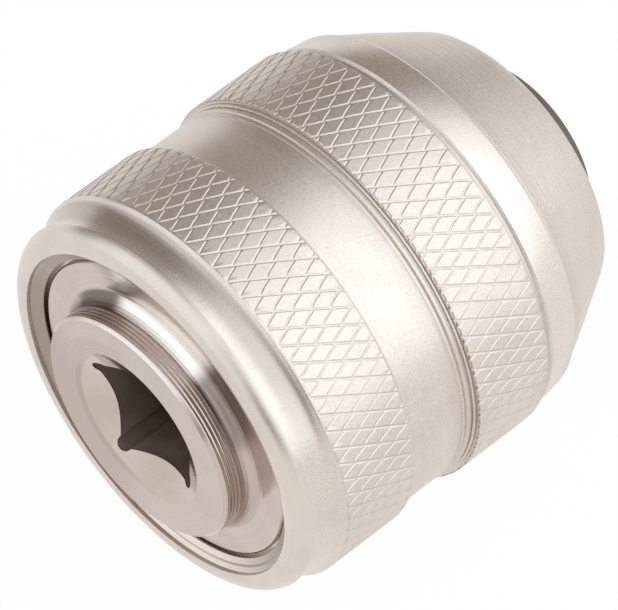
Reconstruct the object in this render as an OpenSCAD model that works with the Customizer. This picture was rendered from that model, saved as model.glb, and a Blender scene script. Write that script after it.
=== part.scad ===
// Keyless drill chuck with a half inch square drive socket.
// The chuck's axis is X: the boss face is at x = 0 and the nose points to +X.
// Radii are built outwards from the jaws, and stations back from the tip of the body.

/* [Overall] */
// Length from the boss face to the tip of the body
chuck_len = 63; // [62:0.5:66]
// Diameter over the crest of the rear knurl
sleeve_d = 52.8; // [51.6:0.2:54]
// Largest shank that the jaws take
capacity = 13; // [12.8:0.1:13.2]

/* [Sleeves] */
// How far the body stands out of the nose
tip_stand = 4.3; // [3.8:0.1:4.8]
// Length of the nose cone
nose_len = 12; // [11.6:0.1:12.6]
// Length of the taper between the front knurl and the nose cone
taper_len = 5.6; // [5.2:0.1:6]
// Length of the front knurl with the lip behind it
front_knurl_len = 11.7; // [11:0.1:12.4]
// Length of the rear knurl
rear_knurl_len = 10.7; // [10:0.1:11]
// Length of the hollow flare behind the rear knurl
flare_len = 3.85; // [3.6:0.05:4.2]

/* [Drive socket] */
// Width across the flats of the square socket
drive_flats = 12.8; // [12.75:0.05:13]
// Depth of the square part of the socket
drive_depth = 17; // [15:0.5:17]
// Roll of a socket corner from +Y towards +Z
drive_roll = 26; // [0:1:90]
// Radius of the relief in each corner of the socket
corner_relief_r = 1; // [0.8:0.1:1.2]

/* [Boss and flange] */
// Radius of the drive boss
boss_r = 15.3; // [14.5:0.1:16]
// Height of the boss above the flange
boss_h = 4.3; // [4:0.1:4.6]
// Thickness of the rear flange
flange_t = 5.7; // [5.4:0.1:6]

/* [Jaws] */
// Number of jaws
jaw_count = 3; // [3]
// Angle between a jaw and the chuck's axis
jaw_angle = 15; // [14.5:0.1:15.5]
// Radius of a jaw's round stem
jaw_r = 4.15; // [4:0.05:4.2]
// Half width of a grip face
grip_half_w = 0.8; // [0.6:0.1:1]
// Roll of the first jaw from +Y towards +Z
jaw_roll = 90; // [0:1:120]

/* [Bearing and nut] */
// Radial width of the bearing races
race_w = 3.2; // [3.1:0.05:3.3]
// Thickness of a bearing race
race_t = 1; // [0.9:0.05:1.1]
// Number of bearing balls
ball_count = 24; // [18:1:28]
// Length of the nut along the axis
nut_len = 6.6; // [6:0.1:6.8]

/* [Hidden] */

$fn = 96;

// Clearances: fixed fits, turning or sliding fits, and open gaps
fit_gap = 0.02;
run_gap = 0.05;
open_gap = 0.3;
split_gap = 0.2;
// Edge breaks
fine_edge = 0.2;
edge = 0.4;
// How far a cut runs past the face it opens
over = 1;

// Stations, back from the tip of the body
tip_cone = 3.6;
tip_start_x = chuck_len - tip_cone;
nose_end_x = chuck_len - tip_stand;
collar_x = nose_end_x - nose_len;
front_knurl_end_x = collar_x - taper_len;
front_x = front_knurl_end_x - front_knurl_len;
front_lip_len = 0.6;
split_x = front_x - split_gap;
nose_bearing_len = 14.2;
groove_end_x = chuck_len - nose_bearing_len;
head_len = 26.9;
shoulder_x = chuck_len - head_len;
jaw_gap = 0.5;
jaw_len = 43.7;
jaw_tip_x = chuck_len - jaw_gap;
jaw_back_x = jaw_tip_x - jaw_len;
jaw_bore_end_x = jaw_back_x - jaw_gap;

// Socket and shank bore
countersink_depth = 2.4;
socket_pilot_r = drive_flats / 2 - fine_edge / 2;
socket_pilot_len = 2;
drill_point = 2.2;
web = 2.8;
detent_x = 8.5;
detent_w = 2.6;
detent_depth = 0.7;
relief_past = 0.12;
bore_end_x = drive_depth + socket_pilot_len + drill_point + web;
bore_play = 0.25;
shank_bore_r = capacity / 2 + bore_play;

// Jaws: grip faces open a little wider than the shank bore
grip_clear = 0.15;
grip_open_r = shank_bore_r + grip_clear;
jaw_axis_drop = 1.1;
jaw_axis_tip_r = grip_open_r - jaw_axis_drop;
jaw_bore_r = jaw_r + run_gap;
flank_slope = 1.7;
jaw_taper = 2.3;

// Distance of a jaw's outer side from the chuck's axis at station x
function jaw_side_r(x) =
    jaw_axis_tip_r + (chuck_len - x) * tan(jaw_angle) + jaw_r / cos(jaw_angle);

// Bearing stack on the body's shoulder
race_in_r = jaw_side_r(shoulder_x) + open_gap;
race_out_r = race_in_r + race_w;
ball_circle_r = race_in_r + race_w / 2;
ball_r = race_w * 0.375;
race_rear_x = shoulder_x + fit_gap;
ball_x = race_rear_x + race_t + run_gap + ball_r;
race_front_x = ball_x + ball_r + run_gap;
cage_t = ball_r * 0.9;
cage_in_r = jaw_side_r(ball_x - cage_t / 2) + open_gap;

// Split nut and the ring that holds its halves together
nut_x = race_front_x + race_t + fit_gap;
nut_end_x = nut_x + nut_len;
nut_out_r = race_out_r - edge;
nut_ring_wall = 1.6;
nut_ring_r = nut_out_r + nut_ring_wall;
nut_split = 0.1;

// Body
core_r = nut_out_r;
flange_step = 0.6;
flange_r = core_r + flange_step;
flange_end_x = boss_h + flange_t;
flange_face_drop = 0.7;
flange_face_r = flange_r - flange_face_drop;
flange_face_len = 0.9;
flange_step_x = boss_h + flange_face_len;
boss_fillet = 1.6;
groove_drop = 0.2;
groove_r = jaw_side_r(nut_end_x) - groove_drop;
nose_step = 1.9;
nose_r = groove_r + nose_step;
tip_wall = 1.3;
tip_r = jaw_side_r(chuck_len) + tip_wall;
countersink_r = drive_flats * 0.82;

// Sleeves
sleeve_r = sleeve_d / 2;
knurl_lead = 0.1;
front_knurl_r = sleeve_r + knurl_lead;
band_drop = 0.8;
band_r = sleeve_r - band_drop;
sleeve_space = 1.6;
sleeve_bore_r = core_r + sleeve_space;
jaw_clear = 0.7;
jaw_clip_r = sleeve_bore_r - jaw_clear;
spigot_r = sleeve_bore_r + 0.4 * (band_r - sleeve_bore_r);
spigot_len = 3.2;
ring_wall = 1.25;
ring_mouth_gap = 0.45;
ring_mouth_r = flange_face_r + ring_mouth_gap;
ring_mouth_x = boss_h - fine_edge;
ring_dish = 0.8;
ring_rim_x = ring_mouth_x - ring_dish;
ring_out_r = flange_r + fit_gap + ring_wall;
ring_end_x = flange_end_x - edge;
lip_in_r = ring_out_r + fit_gap;
lip_minor_r = 2.4;
lip_wrap_start = -17;
lip_wrap_end = 75;
lip_steps = 14;
lip_set = 0.7;
lip_centre_r = lip_in_r + lip_set;
lip_stand = 0.8;
lip_centre_x = boss_h + lip_stand;
flare_stand = 0.25;
flare_x = boss_h + flare_stand;
flare_end_x = flare_x + flare_len;
flare_out = 2;
flare_r = lip_centre_r + flare_out;
flare_drop = 0.5;
flare_end_r = sleeve_r - flare_drop;
flare_curve = 1.7;
flare_steps = 6;
knurl_ramp = 0.5;
rear_knurl_x = flare_end_x + knurl_ramp;
rear_knurl_end_x = rear_knurl_x + rear_knurl_len;
ridge_pitch = 0.68;
ridge_climb = 0.22;
ridge_arc_r = 0.3;
ridge_arc_start = 21.5;
ridge_steps = 4;
ridge_foot_drop = 0.1;
shoulder_len = 0.8;
collar_drop = 1.15;
collar_r = sleeve_r - collar_drop;
land_len = 1;
land_drop = 0.5;
collar_land_x = front_knurl_end_x + land_len;
collar_land_r = front_knurl_r - land_drop;
nose_wall = 1.8;
nose_end_r = nose_r + open_gap + nose_wall;
nose_round = 0.95;
nose_land_len = 4.2;
front_bore_r = nut_ring_r + fit_gap;
nose_bore_r = nose_r + open_gap;

// Points of an arc in the plane of (radius, station), from angle a to angle b
function arc(cr, cx, r, a, b, n) =
    [for (i = [0 : n]) [cr + r * sin(a + (b - a) * i / n), cx - r * cos(a + (b - a) * i / n)]];

// Points of the shallow hollow flare between the lip and the rear knurl
function flare(n) =
    [for (i = [0 : n]) [flare_r + (flare_end_r - flare_r) * pow(i / n, flare_curve),
                        flare_x + (flare_end_x - flare_x) * i / n]];

// Foot radius of each of the fine ridges that climb from the band to the front knurl
function ridge_foot_r(i) = band_r - ridge_foot_drop + i * ridge_climb;

// Station of each ridge's crest: two lie behind the split and one before it
function ridge_x(i) = split_x - split_gap + (i - 1) * ridge_pitch;

// Points of one ridge
function ridge(i) =
    arc(ridge_foot_r(i) - ridge_arc_r * sin(ridge_arc_start), ridge_x(i), ridge_arc_r,
        ridge_arc_start, 180 - ridge_arc_start, ridge_steps);

// Turns a list of (radius, station) points about the chuck's axis
module turned(points) {
    rotate([0, 90, 0])
        rotate_extrude()
            polygon(points);
}

// Plain ring between two radii and two stations
module ring(in_r, out_r, x0, x1) {
    chamfer = min(fine_edge, (x1 - x0) / 5);
    turned([[in_r, x0], [out_r - chamfer, x0], [out_r, x0 + chamfer],
            [out_r, x1 - chamfer], [out_r - chamfer, x1], [in_r, x1]]);
}

// Round bar along a jaw's axis between two stations
module jaw_bar(r, x0, x1) {
    from_tip = (chuck_len - x0) / cos(jaw_angle);
    translate([chuck_len, jaw_axis_tip_r, 0])
        rotate([0, 0, -jaw_angle])
            translate([-from_tip, 0, 0])
                rotate([0, 90, 0])
                    cylinder(r = r, h = (x1 - x0) / cos(jaw_angle));
}

module at_jaw(i) {
    rotate([jaw_roll + 360 * i / jaw_count, 0, 0])
        children();
}

module drive_socket() {
    corner_reach = drive_flats / sqrt(2) + relief_past * corner_relief_r;
    socket_end_x = drive_depth + socket_pilot_len;
    rotate([drive_roll - 45, 0, 0]) {
        translate([-over, -drive_flats / 2, -drive_flats / 2])
            cube([drive_depth + over, drive_flats, drive_flats]);
        for (i = [0 : 3])
            rotate([45 + 90 * i, 0, 0])
                translate([-over, corner_reach - corner_relief_r, 0])
                    rotate([0, 90, 0])
                        cylinder(r = corner_relief_r, h = drive_depth + over);
    }
    // Countersink, which is a cone of 120 degrees
    turned([[0, -over], [countersink_r + over * sqrt(3), -over], [0, countersink_r / sqrt(3)]]);
    // Retaining groove
    detent_r = drive_flats / 2 + detent_depth;
    turned([[0, detent_x - detent_w / 2], [detent_r, detent_x - detent_w / 2],
            [detent_r, detent_x + detent_w / 2], [0, detent_x + detent_w / 2]]);
    // Drilled end below the square
    turned([[0, drive_depth - over], [socket_pilot_r, drive_depth - over],
            [socket_pilot_r, socket_end_x], [over, socket_end_x + drill_point],
            [0, socket_end_x + drill_point]]);
}

module body() {
    fillet_r = boss_r + boss_fillet;
    color([0.62, 0.58, 0.54])
        difference() {
            turned(concat(
                [[0, 0], [boss_r - edge, 0], [boss_r, edge]],
                [for (i = [0 : 6]) [fillet_r - boss_fillet * cos(15 * i),
                                    boss_h - boss_fillet + boss_fillet * sin(15 * i)]],
                [[flange_face_r - fine_edge, boss_h], [flange_face_r, boss_h + fine_edge],
                 [flange_face_r, flange_step_x], [flange_r, flange_step_x],
                 [flange_r, flange_end_x - fine_edge], [flange_r - fine_edge, flange_end_x],
                 [core_r, flange_end_x], [core_r, shoulder_x - edge], [core_r - edge, shoulder_x],
                 [groove_r + edge, shoulder_x], [groove_r, shoulder_x + edge],
                 [groove_r, groove_end_x - edge], [groove_r + edge, groove_end_x],
                 [nose_r - edge, groove_end_x], [nose_r, groove_end_x + edge],
                 [nose_r, tip_start_x], [tip_r + fine_edge, chuck_len - fine_edge],
                 [tip_r, chuck_len], [0, chuck_len]]));
            drive_socket();
            // Shank bore with a chamfered mouth
            turned([[0, bore_end_x], [shank_bore_r - edge, bore_end_x],
                    [shank_bore_r, bore_end_x + edge], [shank_bore_r, chuck_len - 2 * edge],
                    [shank_bore_r + 2 * edge + over, chuck_len + over], [0, chuck_len + over]]);
            for (i = [0 : jaw_count - 1])
                at_jaw(i)
                    intersection() {
                        jaw_bar(jaw_bore_r, jaw_bore_end_x - jaw_r, chuck_len + jaw_r);
                        translate([jaw_bore_end_x, 0, -jaw_bore_r - over])
                            cube([chuck_len, chuck_len, 2 * (jaw_bore_r + over)]);
                    }
        }
}

module rear_sleeve() {
    ring_seat_x = ring_end_x + fit_gap;
    color([0.80, 0.74, 0.69])
        turned(concat(
            [[lip_in_r, ring_seat_x]],
            arc(lip_centre_r, lip_centre_x, lip_minor_r, lip_wrap_start, lip_wrap_end, lip_steps),
            flare(flare_steps),
            [[sleeve_r - fine_edge, rear_knurl_x - fine_edge], [sleeve_r, rear_knurl_x],
             [sleeve_r, rear_knurl_end_x - edge], [sleeve_r - edge, rear_knurl_end_x],
             [band_r, rear_knurl_end_x], [band_r, ridge_x(0) - shoulder_len],
             [ridge_foot_r(0), ridge_x(0) - shoulder_len / 2]],
            ridge(0),
            ridge(1),
            [[spigot_r, split_x], [spigot_r, split_x + spigot_len],
             [sleeve_bore_r, split_x + spigot_len], [sleeve_bore_r, ring_seat_x]]));
}

// Dished ring that joins the flange to the rear sleeve
module rear_ring() {
    seat_r = flange_r + fit_gap;
    seat_x = flange_step_x - fit_gap;
    color([0.72, 0.67, 0.62])
        turned([[ring_mouth_r, ring_mouth_x], [ring_out_r, ring_rim_x], [ring_out_r, ring_end_x],
                [seat_r, ring_end_x], [seat_r, seat_x], [ring_mouth_r, seat_x]]);
}

module front_sleeve() {
    spigot_bore_r = spigot_r + open_gap;
    spigot_end_x = front_x + spigot_len + open_gap - split_gap;
    knurl_x = front_x + front_lip_len;
    seat_x = nut_end_x + open_gap;
    color([0.82, 0.76, 0.71])
        turned(concat(
            [[spigot_bore_r, front_x], [ridge_foot_r(2) - fine_edge, front_x]],
            ridge(2),
            [[front_knurl_r - edge, knurl_x],
             [front_knurl_r, knurl_x + edge], [front_knurl_r, front_knurl_end_x - edge],
             [front_knurl_r - edge, front_knurl_end_x], [collar_land_r, collar_land_x],
             [collar_r, collar_x - fine_edge], [collar_r - fine_edge, collar_x],
             [collar_r - fine_edge, collar_x + fine_edge],
             [nose_end_r + nose_round, nose_end_x - nose_round],
             [nose_end_r + nose_round / 2, nose_end_x - edge], [nose_end_r, nose_end_x],
             [nose_bore_r + edge, nose_end_x], [nose_bore_r, nose_end_x - edge],
             [nose_bore_r, nose_end_x - nose_land_len], [nut_out_r, seat_x],
             [front_bore_r, seat_x], [front_bore_r, spigot_end_x],
             [spigot_bore_r, spigot_end_x]]));
}

// Nut: a ring with an inner cone that follows the outer sides of the jaws
module nut_half(side) {
    color([0.55, 0.50, 0.45])
        intersection() {
            turned([[jaw_side_r(nut_x) + open_gap, nut_x], [nut_out_r, nut_x],
                    [nut_out_r, nut_end_x], [jaw_side_r(nut_end_x) + open_gap, nut_end_x]]);
            rotate([side * 90, 0, 0])
                translate([nut_x - over, nut_split / 2, -nut_ring_r])
                    cube([nut_len + 2 * over, nut_ring_r, 2 * nut_ring_r]);
        }
}

module nut_half_a() {
    nut_half(1);
}

module nut_half_b() {
    nut_half(-1);
}

module nut_ring() {
    color([0.60, 0.55, 0.50])
        ring(nut_out_r + fit_gap, nut_ring_r, nut_x, nut_end_x);
}

module race_rear() {
    color([0.70, 0.68, 0.66])
        ring(race_in_r, race_out_r, race_rear_x, race_rear_x + race_t);
}

module race_front() {
    color([0.70, 0.68, 0.66])
        ring(race_in_r, race_out_r, race_front_x, race_front_x + race_t);
}

module ball_cage() {
    color([0.75, 0.62, 0.35])
        difference() {
            ring(cage_in_r, race_out_r, ball_x - cage_t / 2, ball_x + cage_t / 2);
            for (i = [0 : ball_count - 1])
                rotate([360 * i / ball_count, 0, 0])
                    translate([ball_x - cage_t, ball_circle_r, 0])
                        rotate([0, 90, 0])
                            cylinder(r = ball_r + run_gap, h = 2 * cage_t, $fn = 24);
        }
}

module bearing_balls() {
    color([0.85, 0.85, 0.86])
        for (i = [0 : ball_count - 1])
            rotate([360 * i / ball_count, 0, 0])
                translate([ball_x, ball_circle_r, 0])
                    sphere(r = ball_r, $fn = 24);
}

// One jaw: a round stem cut to a wedge with a narrow grip face along the axis
module jaw(i) {
    reach = jaw_clip_r;
    top_r = grip_open_r + reach;
    top_half_w = grip_half_w + flank_slope * reach;
    taper_r = jaw_side_r(jaw_tip_x) + 0.5 * jaw_taper;
    color([0.66, 0.63, 0.60])
        at_jaw(i)
            intersection() {
                jaw_bar(jaw_r, jaw_back_x - jaw_r, chuck_len + jaw_r);
                translate([jaw_back_x, 0, 0])
                    rotate([90, 0, 90])
                        linear_extrude(jaw_tip_x - jaw_back_x)
                            polygon([[grip_open_r, -grip_half_w], [grip_open_r, grip_half_w],
                                     [top_r, top_half_w], [top_r, -top_half_w]]);
                turned([[0, jaw_back_x], [jaw_clip_r, jaw_back_x],
                        [jaw_clip_r, jaw_tip_x - 6 * jaw_taper], [taper_r, jaw_tip_x - jaw_taper],
                        [taper_r - jaw_taper, jaw_tip_x], [0, jaw_tip_x]]);
            }
}

module jaw_1() {
    jaw(0);
}

module jaw_2() {
    jaw(1);
}

module jaw_3() {
    jaw(2);
}

body();
rear_sleeve();
rear_ring();
front_sleeve();
nut_half_a();
nut_half_b();
nut_ring();
race_rear();
race_front();
ball_cage();
bearing_balls();
jaw_1();
jaw_2();
jaw_3();
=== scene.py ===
from math import cos, hypot, pi, radians, sin

import bmesh
import bpy
from mathutils import Matrix, Vector


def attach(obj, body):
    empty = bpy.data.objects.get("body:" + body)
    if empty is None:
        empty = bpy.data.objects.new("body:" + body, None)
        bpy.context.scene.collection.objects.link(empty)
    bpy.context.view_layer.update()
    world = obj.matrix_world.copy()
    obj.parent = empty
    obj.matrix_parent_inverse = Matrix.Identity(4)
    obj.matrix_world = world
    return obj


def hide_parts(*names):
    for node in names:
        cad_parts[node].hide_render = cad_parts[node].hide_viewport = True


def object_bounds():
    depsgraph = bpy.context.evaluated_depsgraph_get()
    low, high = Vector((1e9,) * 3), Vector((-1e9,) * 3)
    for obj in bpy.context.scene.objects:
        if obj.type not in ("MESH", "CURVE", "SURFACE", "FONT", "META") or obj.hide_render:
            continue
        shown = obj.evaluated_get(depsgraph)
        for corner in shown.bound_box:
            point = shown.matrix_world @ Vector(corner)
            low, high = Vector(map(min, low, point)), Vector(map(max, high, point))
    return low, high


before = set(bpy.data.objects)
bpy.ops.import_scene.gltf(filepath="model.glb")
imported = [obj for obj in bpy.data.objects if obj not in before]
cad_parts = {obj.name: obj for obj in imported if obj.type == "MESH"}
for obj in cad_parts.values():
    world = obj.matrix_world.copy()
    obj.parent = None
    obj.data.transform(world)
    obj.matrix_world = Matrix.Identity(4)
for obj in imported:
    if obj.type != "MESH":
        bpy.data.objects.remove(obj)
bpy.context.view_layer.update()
scene = bpy.context.scene
MM = 0.001

# Sizes are in millimetres. Stations (x) run from the boss face to the tip, and radii (r) from the axis.
CHUCK_LEN = 63.0
BOSS_R, FILLET_R, DISC_R, SOCKET_MOUTH_R = 15.1, 15.2, 16.2, 10.5
DISC_X, LIP_FRONT_X, FLARE_END_X = 4.24, 4.4, 8.6
SPLIT_X, COLLAR_FOOT_X, COLLAR_X, NOSE_X = 29.9, 41.0, 42.4, 46.9
REAR_KNURL, FRONT_KNURL = (8.98, 19.6), (29.86, 41.14)
REAR_R, FRONT_R, BAND_R = 26.4, 26.5, 25.6
KNURL_SEAT = 0.2
KNURL_GROUND = 0.25
LIP_BORE_R, LIP_CENTRE_R, LIP_ROUND = 22.294, 22.994, 2.4
SPIGOT_R, SPIGOT_BORE_R, SLEEVE_BORE_R, NUT_BORE_R, NOSE_BORE_R = 23.442, 23.742, 22.004, 22.024, 16.32

NICKEL = (0.75, 0.665, 0.60)
# Painted highlight: the pale colour laid on the collar's edge where it faces the light.
NICKEL_PAINTED_HIGHLIGHT = (0.97, 0.90, 0.84)
# Painted shade: the dark colour laid on the sleeves where shade falls.
NICKEL_PAINTED_SHADE = (0.30, 0.245, 0.21)
PLATE = (0.61, 0.515, 0.46)
# Painted highlight colour on the body.
PLATE_PAINTED_HIGHLIGHT = (1.0, 0.95, 0.90)
# Painted shade and reflections on the body, with some random patches.
SHADE_AND_PATCH_BROWN = (0.13, 0.10, 0.08)
SOCKET_DARK, SOCKET_PALE = (0.19, 0.14, 0.105), (0.29, 0.22, 0.175)
BARE_STEEL = (0.15, 0.13, 0.11)


# ---------------------------------------------------------------- camera

def add_camera():
    azimuth, elevation = radians(-43.14), radians(51.84)
    forward = Vector((-sin(azimuth) * cos(elevation), cos(azimuth) * cos(elevation), -sin(elevation)))
    right = forward.cross(Vector((0, 0, 1))).normalized()
    up = right.cross(forward)
    aim, to_right, to_up, distance = Vector((4.44, 0, 0)), 16.86, 12.04, 702.0
    data = bpy.data.cameras.new("camera")
    data.sensor_width = 36
    data.lens = 351.15
    data.clip_start = 0.05
    data.clip_end = 20
    camera = bpy.data.objects.new("camera", data)
    camera.location = (aim + to_right * right + to_up * up - distance * forward) * MM
    camera.rotation_mode = "QUATERNION"
    camera.rotation_quaternion = forward.to_track_quat("-Z", "Y")
    scene.collection.objects.link(camera)
    scene.camera = camera


# ---------------------------------------------------------------- shader maths

class Sock:
    """One socket of a node tree, with arithmetic that adds Math nodes."""

    def __init__(self, tree, socket):
        self.tree = tree
        self.socket = socket

    def node(self, kind, settings=None, *values, out=0, **named):
        """A new node in this tree, its inputs filled in order and by name; gives one of its outputs."""
        made = self.tree.nodes.new(kind)
        for key, value in (settings or {}).items():
            setattr(made, key, value)
        pairs = list(enumerate(values)) + [(key.replace("_", " "), value) for key, value in named.items()]
        for key, value in pairs:
            if isinstance(value, Sock):
                self.tree.links.new(value.socket, made.inputs[key])
            else:
                made.inputs[key].default_value = value
        return Sock(self.tree, made.outputs[out])

    def maths(self, operation, *values):
        return self.node("ShaderNodeMath", {"operation": operation}, *values)

    def __add__(self, other):
        return self.maths("ADD", self, other)

    def __sub__(self, other):
        return self.maths("SUBTRACT", self, other)

    def __rsub__(self, other):
        return self.maths("SUBTRACT", other, self)

    def __mul__(self, other):
        return self.maths("MULTIPLY", self, other)

    def __truediv__(self, other):
        return self.maths("DIVIDE", self, other)

    def __pow__(self, other):
        return self.maths("POWER", self, other)

    __radd__ = __add__
    __rmul__ = __mul__

    def step(self, low, high, start=0.0, end=1.0):
        """Smooth change from start to end as the value goes from low to high."""
        smooth = {"interpolation_type": "SMOOTHSTEP"}
        return self.node("ShaderNodeMapRange", smooth, self, low, high, start, end)

    def between(self, low, full, fall, high):
        """1 from full to fall, rising from low and fading out by high."""
        return self.step(low, full) * (1 - self.step(fall, high))

    def mix(self, first, second):
        """Colour between first and second, with this socket as the factor."""
        made = self.tree.nodes.new("ShaderNodeMix")
        made.data_type = "RGBA"
        self.tree.links.new(self.socket, made.inputs[0])
        for index, value in ((6, first), (7, second)):
            if isinstance(value, Sock):
                self.tree.links.new(value.socket, made.inputs[index])
            else:
                made.inputs[index].default_value = (*value, 1)
        return Sock(self.tree, made.outputs[2])


def start_material(name, **constants):
    """A new material; gives it, its surface shader's node and the place on the object."""
    material = bpy.data.materials.new(name)
    material.use_nodes = True
    tree = material.node_tree
    surface = tree.nodes["Principled BSDF"]
    for key, value in constants.items():
        surface.inputs[key.replace("_", " ")].default_value = value
    place = Sock(tree, tree.nodes.new("ShaderNodeTexCoord").outputs["Object"])
    return material, surface, place


def wire(surface, **sockets):
    """Links sockets to the surface shader's inputs of the same names."""
    for key, value in sockets.items():
        value.tree.links.new(value.socket, surface.inputs[key.replace("_", " ")])


def tint(colour, share):
    """A colour made darker or paler by a share."""
    return tuple(part * share for part in colour)


def along_and_out(place):
    """The station along the axis, the distance from it and the two offsets across it, in millimetres."""
    split = place.tree.nodes.new("ShaderNodeSeparateXYZ")
    place.tree.links.new(place.socket, split.inputs[0])
    x, y, z = (Sock(place.tree, part) * 1000 for part in split.outputs)
    return x, (y * y + z * z) ** 0.5, y, z


def turning_marks(place, x, r, y, z, fine, drift=0.03):
    """Noise drawn out round the axis, as a lathe tool leaves it."""
    vector = place.node("ShaderNodeCombineXYZ", None, x * fine, r * fine, (y + z) * drift)
    return place.node("ShaderNodeTexNoise", None, Vector=vector, Scale=1.0, Detail=3.0, Roughness=0.6)


def clouds(place, scale, detail=3.0):
    """Soft patches, for stains and uneven plate."""
    return place.node("ShaderNodeTexNoise", None, Vector=place, Scale=scale, Detail=detail)


def relief(place, height, strength, deep):
    """A normal from a height, which is deep millimetres where it is 1."""
    return place.node("ShaderNodeBump", None, Strength=strength, Distance=deep * MM, Height=height)


def fan(psi, centre, half, soft):
    """1 within half of an angle about the axis, fading out over soft; all in degrees."""
    away = psi - radians(centre)
    return away.maths("COSINE", away).step(cos(radians(half + soft)), cos(radians(half)))


# ---------------------------------------------------------------- finishes

def satin_nickel(name, rough, marks, groove):
    """Nickel plate over a blasted surface, with turning marks on the nose, painted shade in the knurl's
    grooves and the sleeves' hollows, and a painted highlight on the collar.
    """
    material, surface, place = start_material(name, Metallic=1.0)
    x, r, y, z = along_and_out(place)
    psi = z.maths("ARCTAN2", z, y)
    lines = turning_marks(place, x, r, y, z, 4.0)
    grain = place.node("ShaderNodeTexNoise", None, Vector=place, Scale=4600.0, Detail=2.0, Roughness=0.6)
    cloud = clouds(place, 150.0)

    nose = x.step(NOSE_X, NOSE_X + 0.2)
    collar = x.step(COLLAR_X - 0.2, COLLAR_X + 0.1) * (1 - nose)
    blasted = x.step(LIP_FRONT_X, 6.0, 0.15, 0.7) + x.step(FLARE_END_X, 9.2) * 0.15
    smooth = 1 - x.step(8.7, 9.1) + collar * 0.7

    # Painted shade in the knurl's grooves, faded on the side where the light falls; groove sets its strength.
    under_crest = REAR_R + x.step(24.0, 26.0) * (FRONT_R - REAR_R) - r
    groove_shade_lit_fade = fan(psi, 150, 35, 25) * (groove * 0.55)
    painted_groove_shade = under_crest.step(0.03, 0.11) * (groove - groove_shade_lit_fade)
    # Painted shade, not stains: the flare's hollow darkened on the side turned from the light, the band
    # darkened towards the split between the sleeves, the groove at the collar's foot, and the nose's edge by
    # the collar.
    flare = x.between(4.9, 6.6, 8.25, FLARE_END_X) * fan(psi, 86, 40, 30) * 0.5
    split = x.between(25.2, 28.2, SPLIT_X - 0.05, SPLIT_X + 0.05) * 0.14
    collar_foot = x.between(COLLAR_FOOT_X + 0.05, COLLAR_FOOT_X + 0.35, 42.0, 42.3) * 0.25
    painted_nose_edge_shade = nose * (1 - x.step(NOSE_X + 0.2, 49.5)) * 0.12
    painted_shade = flare + split + collar_foot + painted_nose_edge_shade
    # Painted highlight on the collar's edge, on the side facing the light.
    painted_highlight = x.step(COLLAR_X - 0.05, COLLAR_X + 0.1) * (1 - nose) * fan(psi, 152, 32, 30) * 0.2

    speckle = (grain - 0.5) * blasted + 0.5
    uneven = (cloud * 0.2 + lines * 0.1 + speckle * 0.7).step(0.41, 0.57) - painted_groove_shade
    plate = painted_highlight.mix(uneven.mix(tint(NICKEL, 0.85), NICKEL), NICKEL_PAINTED_HIGHLIGHT)
    wire(surface,
         Base_Color=painted_shade.mix(plate, NICKEL_PAINTED_SHADE),
         Roughness=rough + (grain - 0.5) * 0.24 + (lines - 0.5) * 0.06 - smooth * 0.09,
         Normal=relief(place, grain * blasted * 0.5 + lines * (nose * 1.5 + marks), 0.8, 0.04))
    return material


def turned_ring(name, bright, shaded_tone):
    """Fine-turned plate, its colour a painted reflection that gathers into two opposite fans, with painted
    shade in the groove of its seat.
    """
    material, surface, place = start_material(name, Metallic=1.0)
    x, r, y, z = along_and_out(place)
    psi = z.maths("ARCTAN2", z, y)
    lines = turning_marks(place, x, r, y, z, 6.0, 0.02)
    # Painted reflection: two opposite fans of light round the axis, as on turned metal.
    twice = psi * 2.0 - radians(164)
    seat = r.between(21.35, 21.5, 21.6, 21.75)
    # Painted shade at two more angles about the axis.
    dark = fan(psi, 48, 10, 14) * 0.6 + fan(psi, 155, 25, 22) * 0.3
    painted_sheen = twice.maths("COSINE", twice) * 0.5 + lines * 0.3 - seat * 0.45 - dark
    wire(surface,
         Base_Color=painted_sheen.step(-0.25, 0.75).mix(shaded_tone, bright),
         Roughness=0.22 + lines * 0.08,
         Normal=relief(place, lines, 0.5, 0.03))
    return material


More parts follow.
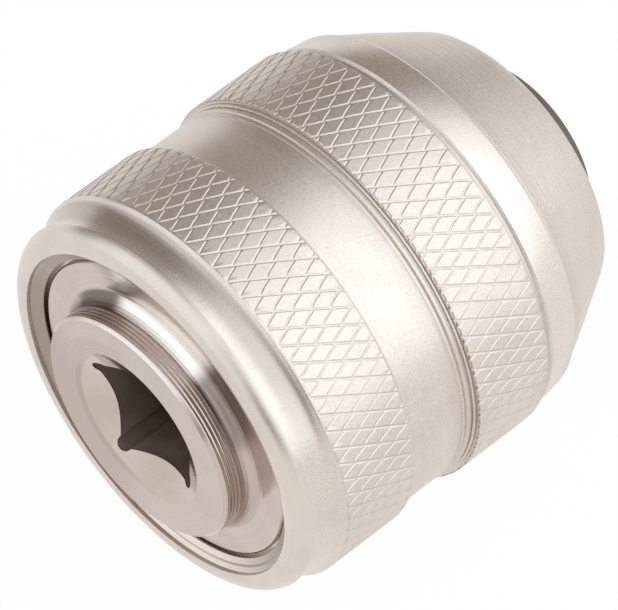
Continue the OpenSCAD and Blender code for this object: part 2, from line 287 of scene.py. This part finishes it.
def plated_body(name):
    """A plated rear end with turning marks and painted reflections, highlights and shade, a brown socket, and
    bare dark steel from the bearing on.
    """
    material, surface, place = start_material(name, Specular_IOR_Level=0.0)
    x, r, y, z = along_and_out(place)
    psi = z.maths("ARCTAN2", z, y)
    coarse = turning_marks(place, x, r, y, z, 2.2, 0.05)
    lines = turning_marks(place, x, r, y, z, 7.0, 0.02)
    cloud = clouds(place, 170.0)

    front = x.step(20.0, 26.0)
    socket = (x + (r - SOCKET_MOUTH_R) / 1.732).step(0.05, 0.3) * (1 - r.step(10.4, 10.8))
    face = (1 - x.step(0.3, 0.4)) * (1 - socket)
    chamfer = x.between(0.0, 0.06, 0.36, 0.42) * r.step(14.84, 14.9)
    side = x.between(0.4, 0.5, 2.6, 2.75) * r.step(BOSS_R, 15.2)
    # The crease between the boss's side and the fillet, where painted shade goes.
    crease = x.between(2.5, 2.62, 2.84, 2.92) * r.step(BOSS_R, 15.2)
    fillet = x.between(2.65, 2.75, 4.22, 4.3) * r.between(FILLET_R, 15.25, 17.2, 17.6)
    disc = x.step(DISC_X, 4.3) * r.step(DISC_R, 16.6)

    # Painted reflections and shade, not tarnish: dark and brown fans on the disc, and shade on the boss face,
    # its side, the crease by the fillet and the fillet, at the angles about the axis where the light is dim.
    # The face also gets random patches.
    painted_dark_reflection = fan(psi, 131, 10, 12) * disc * (0.75 + lines * 0.5)
    painted_brown_reflection = fan(psi, 74, 7, 14) * disc * (coarse * 0.6 + lines * 0.6).step(0.4, 0.7)
    inner_face = fan(psi, 55, 12, 22) * (1 - r.step(12.0, 13.0))
    face_shade = face * (fan(psi, -30, 30, 45) * 0.22 + inner_face * 0.14 + (cloud - 0.5) * 0.35)
    side_shade = side * fan(psi, 46, 14, 16) * 0.5 + crease * fan(psi, 90, 40, 20) * 0.75
    fillet_shade = fillet * (fan(psi, 48, 10, 12) * 0.8 + fan(psi, 135, 14, 10) * 0.45)
    painted_shade_and_patches = painted_dark_reflection * 0.45 + painted_brown_reflection * 0.42 + face_shade + side_shade + fillet_shade
    # Painted highlight on the fillet, the disc and the boss's chamfer, at the angles that face the light.
    painted_highlight = (fillet + disc * 0.45) * fan(psi, 92, 20, 10) + chamfer * fan(psi, 86, 22, 20) * (lines * 0.9)

    plate = (cloud * 0.6 + lines * 0.4).step(0.35, 0.65).mix(tint(PLATE, 0.88), PLATE)
    rear = painted_highlight.mix(painted_shade_and_patches.mix(plate, SHADE_AND_PATCH_BROWN), PLATE_PAINTED_HIGHLIGHT)
    inside = (cloud * 0.7 + lines * 0.3).step(0.35, 0.65).mix(SOCKET_DARK, SOCKET_PALE)
    worn = (coarse * 0.5 + lines * 0.3 + cloud * 0.2).step(0.32, 0.66)
    tip = worn.mix(tint(BARE_STEEL, 0.7), tint(BARE_STEEL, 1.3))

    wave = x * 12.0 + coarse * 2.2
    ridges = wave.maths("SINE", wave) * 0.5 + 0.5
    tooled = (coarse * 0.4 + lines * 0.25) * (0.15 + disc + front)
    wire(surface,
         Base_Color=front.mix(socket.mix(rear, inside), tip),
         Metallic=1 - socket * 0.5 - front * 0.9,
         Roughness=(0.13 + coarse * 0.05 + (cloud - 0.5) * 0.10 + front * 0.3 + socket * 0.2
                    + fillet * 0.25),
         Normal=relief(place, tooled + side * ridges * 1.8 + cloud * 1.2, 0.6, 0.03))
    return material


def machined(name, colour, rough, fine):
    """A plain inner piece: bare metal with tool marks and slight staining."""
    material, surface, place = start_material(name, Metallic=1.0)
    x, r, y, z = along_and_out(place)
    lines = turning_marks(place, x, r, y, z, fine)
    stain = clouds(place, 260.0, 4.0)
    wire(surface,
         Base_Color=(stain * 0.6 + lines * 0.4).step(0.36, 0.6).mix(tint(colour, 0.72), colour),
         Roughness=rough + (stain - 0.5) * 0.16 + (lines - 0.5) * 0.08,
         Normal=relief(place, lines + stain * 0.4, 0.4, 0.03))
    return material


# ---------------------------------------------------------------- shapes

TURNED_STEPS, TURNED_SHARP, KNURL_SHARP = 192, 28, 31

# The knurl: diamonds round the band and the length of one, and how far the second groove family jogs
KNURL_ROUND, KNURL_LONG, KNURL_DEPTH = 71, 4.0, 0.12
KNURL_JOG, KNURL_JOG_LEAN = 0.17, 1.7
KNURL_EDGE, KNURL_EDGE_SLOPE = 0.3, 0.25
# Where a cell's lines lie, as shares of its two sides; the grooves are its two outer rows on each side
ACROSS = (0.0, 0.035, 0.095, 0.5, 0.905, 0.965, 1.0)
ALONG = (0.0, 0.035, 0.095, 0.37, 0.63, 0.905, 0.965, 1.0)
GROOVE = {0: 1.0, 1: 0.85}
JOGGED_GROOVE = 0.8

# The jaws: each tooth's outline is given as shares of the pitch, and whether that line lies at the root
JAW_ANGLE, JAW_TIP_R = radians(15), 5.8
TEETH, FIRST_TOOTH, TOOTH_PITCH, TOOTH_DEPTH = 16, 15.5, 1.5, 0.55
TOOTH_OUTLINE = ((0.0, False), (0.4, True), (0.6, True), (0.85, False))
TOOTH_FOOT, TOOTH_RISE = 1.6, 1.2


def finish_piece(bm, name, body, material, replaces, sharp=TURNED_SHARP):
    """Makes the shape a piece that rides on a body, in place of the CAD nodes named."""
    bmesh.ops.recalc_face_normals(bm, faces=bm.faces)
    mesh = bpy.data.meshes.new(name)
    bm.to_mesh(mesh)
    bm.free()
    mesh.polygons.foreach_set("use_smooth", [True] * len(mesh.polygons))
    mesh.set_sharp_from_angle(angle=radians(sharp))
    piece = bpy.data.objects.new(name, mesh)
    scene.collection.objects.link(piece)
    mesh.materials.append(material)
    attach(piece, body)
    if replaces:
        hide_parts(*replaces)


def turned(profile):
    """A closed ring from (radius, station) points, turned about the chuck's axis."""
    bm = bmesh.new()
    points = [bm.verts.new((x * MM, 0, r * MM)) for r, x in profile]
    edges = [bm.edges.new(pair) for pair in zip(points, points[1:] + points[:1])]
    bmesh.ops.spin(bm, geom=points + edges, cent=(0, 0, 0), axis=(1, 0, 0), angle=2 * pi, steps=TURNED_STEPS,
                   use_merge=True, use_normal_flip=False, use_duplicate=False)
    return bm


def everything(bm):
    return list(bm.verts) + list(bm.edges) + list(bm.faces)


def knurl_cell(bm, radius, start):
    """One flat diamond of the knurl, with half a groove on each side of it."""
    last_across, last_along = len(ACROSS) - 1, len(ALONG) - 1
    bmesh.ops.create_grid(bm, x_segments=last_across, y_segments=last_along, size=0.5)
    for v in bm.verts:
        i, j = round((v.co.x + 0.5) * last_across), round((v.co.y + 0.5) * last_along)
        a, b = ACROSS[i], ALONG[j]
        on_flat = 1 < j < last_along - 1 and i != last_across // 2
        if on_flat:
            a += KNURL_JOG * (0.5 - b) * (KNURL_JOG_LEAN - b)
        through = GROOVE.get(min(j, last_along - j), 0)
        jogged = JOGGED_GROOVE * GROOVE.get(min(i, last_across - i), 0)
        r = radius - KNURL_DEPTH * max(through, jogged)
        turn = (a + b - 1) * pi / KNURL_ROUND
        v.co = Vector(((start + (a - b) * KNURL_LONG / 2) * MM, r * cos(turn) * MM, r * sin(turn) * MM))


def repeat_cell(bm, length):
    """Repeats the cell along the band, every second one half a cell round, and then all the way round."""
    cell = everything(bm)
    half_turn = Matrix.Rotation(pi / KNURL_ROUND, 3, "X")
    for k in range(-1, int(length / (KNURL_LONG / 2)) + 3):
        if k == 0:
            continue
        copy = bmesh.ops.duplicate(bm, geom=cell)["geom"]
        verts = [g for g in copy if isinstance(g, bmesh.types.BMVert)]
        if k % 2:
            bmesh.ops.rotate(bm, verts=verts, cent=(0, 0, 0), matrix=half_turn)
        bmesh.ops.translate(bm, verts=verts, vec=(k * KNURL_LONG / 2 * MM, 0, 0))
    bmesh.ops.spin(bm, geom=everything(bm), cent=(0, 0, 0), axis=(1, 0, 0), steps=KNURL_ROUND - 1,
                   angle=2 * pi * (KNURL_ROUND - 1) / KNURL_ROUND,
                   use_merge=False, use_normal_flip=False, use_duplicate=True)
    bmesh.ops.remove_doubles(bm, verts=bm.verts, dist=0.002 * MM)


def trim_ends(bm, start, end):
    """Cuts the band off at both ends and adds a line inside each, where the edge starts to slope."""
    lines = ((start, -1, True), (end, 1, True), (start + KNURL_EDGE, -1, False), (end - KNURL_EDGE, 1, False))
    for station, side, cut in lines:
        bmesh.ops.bisect_plane(bm, geom=everything(bm), dist=1e-8, plane_co=(station * MM, 0, 0),
                               plane_no=(side, 0, 0), clear_outer=cut)


def slope_ends(bm, radius, start, end, bite):
    """Slopes both edges down, and draws the diamonds of the rear edge forward by bite to leave teeth."""
    for v in bm.verts:
        r = hypot(v.co.y, v.co.z)
        inside = min(v.co.x / MM - start, end - v.co.x / MM)
        limit = (radius - KNURL_EDGE_SLOPE * max(0.0, KNURL_EDGE - inside)) * MM
        if abs(v.co.x / MM - start) < 1e-3:
            v.co.x += bite * max(0.0, r / MM - radius + KNURL_DEPTH) / KNURL_DEPTH * MM
        if r > limit:
            v.co.y *= limit / r
            v.co.z *= limit / r


def close_inside(bm, inner, start, end):
    """Carries both ends down to the inner radius and joins them."""
    rims = []
    for station in (start, end):
        ring = [e for e in bm.edges
                if e.is_boundary and all(abs(v.co.x / MM - station) < KNURL_EDGE for v in e.verts)]
        made = bmesh.ops.extrude_edge_only(bm, edges=ring)["geom"]
        for v in (g for g in made if isinstance(g, bmesh.types.BMVert)):
            scale = inner * MM / hypot(v.co.y, v.co.z)
            v.co.y *= scale
            v.co.z *= scale
        rims.append([g for g in made if isinstance(g, bmesh.types.BMEdge) and g.is_boundary])
    bmesh.ops.bridge_loops(bm, edges=rims[0] + rims[1])


def knurled(radius, start, end, shift, bite=0.0):
    """A knurled ring: flat diamonds between grooves, of which one family runs through and the other jogs."""
    bm = bmesh.new()
    knurl_cell(bm, radius, start + shift)
    repeat_cell(bm, end - start)
    trim_ends(bm, start, end)
    slope_ends(bm, radius, start, end, bite)
    close_inside(bm, radius - KNURL_GROUND, start, end)
    return bm


def from_cad(node):
    """A merged copy of a CAD node's mesh."""
    bm = bmesh.new()
    bm.from_mesh(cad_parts[node].data)
    bmesh.ops.remove_doubles(bm, verts=bm.verts, dist=0.0005 * MM)
    return bm


def toothed_jaw(node, roll):
    """A jaw with a row of thread teeth cut across the outer side of its stem."""
    bm = from_cad(node)
    out = Vector((0, cos(radians(roll)), sin(radians(roll))))
    along = Vector((cos(JAW_ANGLE), 0, 0)) - sin(JAW_ANGLE) * out
    lift = Vector((sin(JAW_ANGLE), 0, 0)) + cos(JAW_ANGLE) * out
    tip = (Vector((CHUCK_LEN, 0, 0)) + JAW_TIP_R * out) * MM
    cuts = {FIRST_TOOTH + k * TOOTH_PITCH + part * TOOTH_PITCH: low
            for k in range(TEETH) for part, low in TOOTH_OUTLINE}
    for behind in cuts:
        bmesh.ops.bisect_plane(bm, geom=everything(bm), dist=1e-8, plane_co=tip - along * behind * MM,
                               plane_no=along)
    roots = [behind for behind, low in cuts.items() if low]
    for v in bm.verts:
        back = (tip - v.co).dot(along) / MM
        height = (v.co - tip).dot(lift) / MM
        if height > TOOTH_FOOT and any(abs(back - behind) < 2e-3 for behind in roots):
            v.co -= lift * TOOTH_DEPTH * min(1.0, (height - TOOTH_FOOT) / TOOTH_RISE) * MM
    return bm


def arc(centre_r, centre_x, radius, start, end, count):
    """Points on an arc, with 0 degrees towards the rear and 90 outwards."""
    angles = [radians(start + (end - start) * k / count) for k in range(count + 1)]
    return [(centre_r + radius * sin(t), centre_x - radius * cos(t)) for t in angles]


def bead(station, foot, half=0.28, rise=0.1):
    """Half-round ridge that stands on a radius."""
    return [(foot + rise * cos(radians(t)), station + half * sin(radians(t))) for t in range(-90, 91, 30)]


# ---------------------------------------------------------------- floor and light

def add_stage():
    """A plain floor under the chuck that keeps its shadow and looks white."""
    half_side, middle_x = 1.5, 0.03
    bm = bmesh.new()
    bmesh.ops.create_grid(bm, x_segments=1, y_segments=1, size=half_side)
    bmesh.ops.translate(bm, verts=bm.verts, vec=(middle_x, 0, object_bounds()[0].z))
    mesh = bpy.data.meshes.new("floor")
    bm.to_mesh(mesh)
    bm.free()
    floor = bpy.data.objects.new("floor", mesh)
    scene.collection.objects.link(floor)
    material = bpy.data.materials.new("floor")
    material.use_nodes = True
    tree = material.node_tree
    surface = tree.nodes["Principled BSDF"]
    surface.inputs["Base Color"].default_value = (0.9, 0.9, 0.9, 1)
    surface.inputs["Roughness"].default_value = 0.9
    path = tree.nodes.new("ShaderNodeLightPath")
    camera_ray, glossy_ray, through_ray = (
        Sock(tree, path.outputs[name]) for name in ("Is Camera Ray", "Is Glossy Ray", "Is Transmission Ray"))
    glow = camera_ray.node("ShaderNodeEmission", None, (1, 1, 1, 1), 1.0)
    share = camera_ray * 0.97 + glossy_ray + through_ray
    blend = share.node("ShaderNodeMixShader", None, share, Sock(tree, surface.outputs[0]), glow)
    tree.links.new(blend.socket, tree.nodes["Material Output"].inputs["Surface"])
    mesh.materials.append(material)


def add_light():
    """A studio that is bright on the side of the chuck's left shoulder and dims behind it."""
    shoulder_side, rear_side = (0.4197, -0.6949, 0.5839), (-0.851, 0.351, 0.391)
    dim, bright, white = (0.385, 0.345, 0.32), (1.54, 1.64, 1.73), (1, 1, 1)
    world = bpy.data.worlds.new("studio")
    scene.world = world
    world.use_nodes = True
    tree = world.node_tree
    way = Sock(tree, tree.nodes.new("ShaderNodeTexCoord").outputs["Generated"])
    toward = way.node("ShaderNodeVectorMath", {"operation": "DOT_PRODUCT"}, way, shoulder_side, out=1)
    behind = way.node("ShaderNodeVectorMath", {"operation": "DOT_PRODUCT"}, way, rear_side, out=1)
    sky = (toward.step(0.156, 0.94) + behind.step(0.45, 0.9) * 0.65).mix(dim, bright)
    camera_ray = Sock(tree, tree.nodes.new("ShaderNodeLightPath").outputs["Is Camera Ray"])
    tree.links.new(camera_ray.mix(sky, white).socket, tree.nodes["Background"].inputs["Color"])
    scene.view_settings.view_transform = "Standard"


# ---------------------------------------------------------------- the chuck

add_camera()
# groove sets the strength of the painted shade in the knurl's grooves.
nickel = satin_nickel("satin_nickel", rough=0.36, marks=0.25, groove=0.0)
knurl_nickel = satin_nickel("knurled_nickel", rough=0.38, marks=0.0, groove=1.6)
body_steel = plated_body("plated_body")
# The lit and shaded tones of the ring's painted reflection.
ring_steel = turned_ring("turned_ring", (0.84, 0.76, 0.70), (0.36, 0.295, 0.25))
jaw_steel = machined("jaw_steel", (0.30, 0.28, 0.265), 0.30, 3.0)
nut_steel = machined("nut_steel", (0.34, 0.31, 0.28), 0.34, 2.0)
race_steel = machined("race_steel", (0.62, 0.61, 0.60), 0.14, 8.0)
ball_steel = machined("ball_steel", (0.78, 0.78, 0.78), 0.06, 0.0)
cage_brass = machined("cage_brass", (0.72, 0.50, 0.24), 0.28, 3.0)

rear_floor, front_floor = REAR_R - KNURL_SEAT, FRONT_R - KNURL_SEAT
rolled_lip = [(LIP_BORE_R, 9.62)] + arc(LIP_CENTRE_R, 5.1, LIP_ROUND, -17, 75, 20)
flare = [(25.0, 4.55), (25.06, 5.1), (25.12, 5.6), (25.22, 6.2), (25.34, 6.8), (25.46, 7.4), (25.6, 7.85),
         (25.74, 8.12), (25.92, 8.35), (26.14, 8.57), (26.3, 8.72), (26.37, 8.83), (26.36, 8.95)]
smooth_band = [(rear_floor, 9.02), (rear_floor, REAR_KNURL[1]), (25.9, 19.7), (25.75, 19.9), (25.63, 20.1),
               (BAND_R, 20.3), (BAND_R, 27.55), (25.57, 27.8), (25.5, 27.97)]
split_ridges = bead(28.33, 25.5) + bead(29.0, 25.72) + [(25.72, 29.3), (25.74, 29.6), (25.5, 29.68)]
spigot = [(SPIGOT_R, 29.7), (SPIGOT_R, 32.4), (SLEEVE_BORE_R, 32.4)]
finish_piece(turned(rolled_lip + flare + smooth_band + split_ridges + spigot),
             "rear_sleeve_shell", "chuck_body", nickel, ["rear_sleeve"])
finish_piece(knurled(REAR_R, *REAR_KNURL, shift=-0.03), "rear_knurl", "chuck_body", knurl_nickel, [],
             KNURL_SHARP)

split_face = [(SPIGOT_BORE_R, SPLIT_X), (25.6, 29.85), (25.76, 29.8), (25.76, 29.43)]
front_lip = bead(29.67, 25.95, 0.2) + [(26.1, 29.86), (front_floor, SPLIT_X), (front_floor, COLLAR_FOOT_X)]
collar_foot = [(26.2, 41.15), (25.98, 41.3), (25.76, 41.5), (25.68, 41.75), (25.68, 42.0), (25.84, 42.22)]
collar = [(25.95, COLLAR_X), (25.42, 46.35), (25.3, 46.55), (25.08, 46.72), (25.0, 46.82), (24.96, NOSE_X)]
nose = [(24.91, 46.99), (23.8, 49.15), (22.6, 51.4), (20.75, 54.6), (18.97, 57.7), (18.6, 58.25),
        (18.1, 58.68), (16.7, 58.7), (NOSE_BORE_R, 58.3)]
bores = [(NOSE_BORE_R, 54.5), (20.4, 47.54), (NUT_BORE_R, 47.54), (NUT_BORE_R, 32.7), (SPIGOT_BORE_R, 32.7)]
finish_piece(turned(split_face + front_lip + collar_foot + collar + nose + bores),
             "front_sleeve_shell", "turning_sleeve", nickel, ["front_sleeve"])
finish_piece(knurled(FRONT_R, *FRONT_KNURL, shift=-1.11, bite=0.2), "front_knurl", "turning_sleeve",
             knurl_nickel, [], KNURL_SHARP)

for count, letter in enumerate("abc"):
    node = f"jaw_{count + 1}"
    finish_piece(toothed_jaw(node, 90 + 120 * count), f"toothed_jaw_{letter}", f"jaw_{letter}", jaw_steel,
                 [node])

COATS = {"body": body_steel, "rear_ring": ring_steel, "nut_half_a": nut_steel, "nut_half_b": nut_steel,
         "nut_ring": nut_steel, "race_rear": race_steel, "race_front": race_steel, "ball_cage": cage_brass,
         "bearing_balls": ball_steel}
for node, coat in COATS.items():
    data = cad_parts[node].data
    data.materials.clear()
    data.materials.append(coat)

add_stage()
add_light()
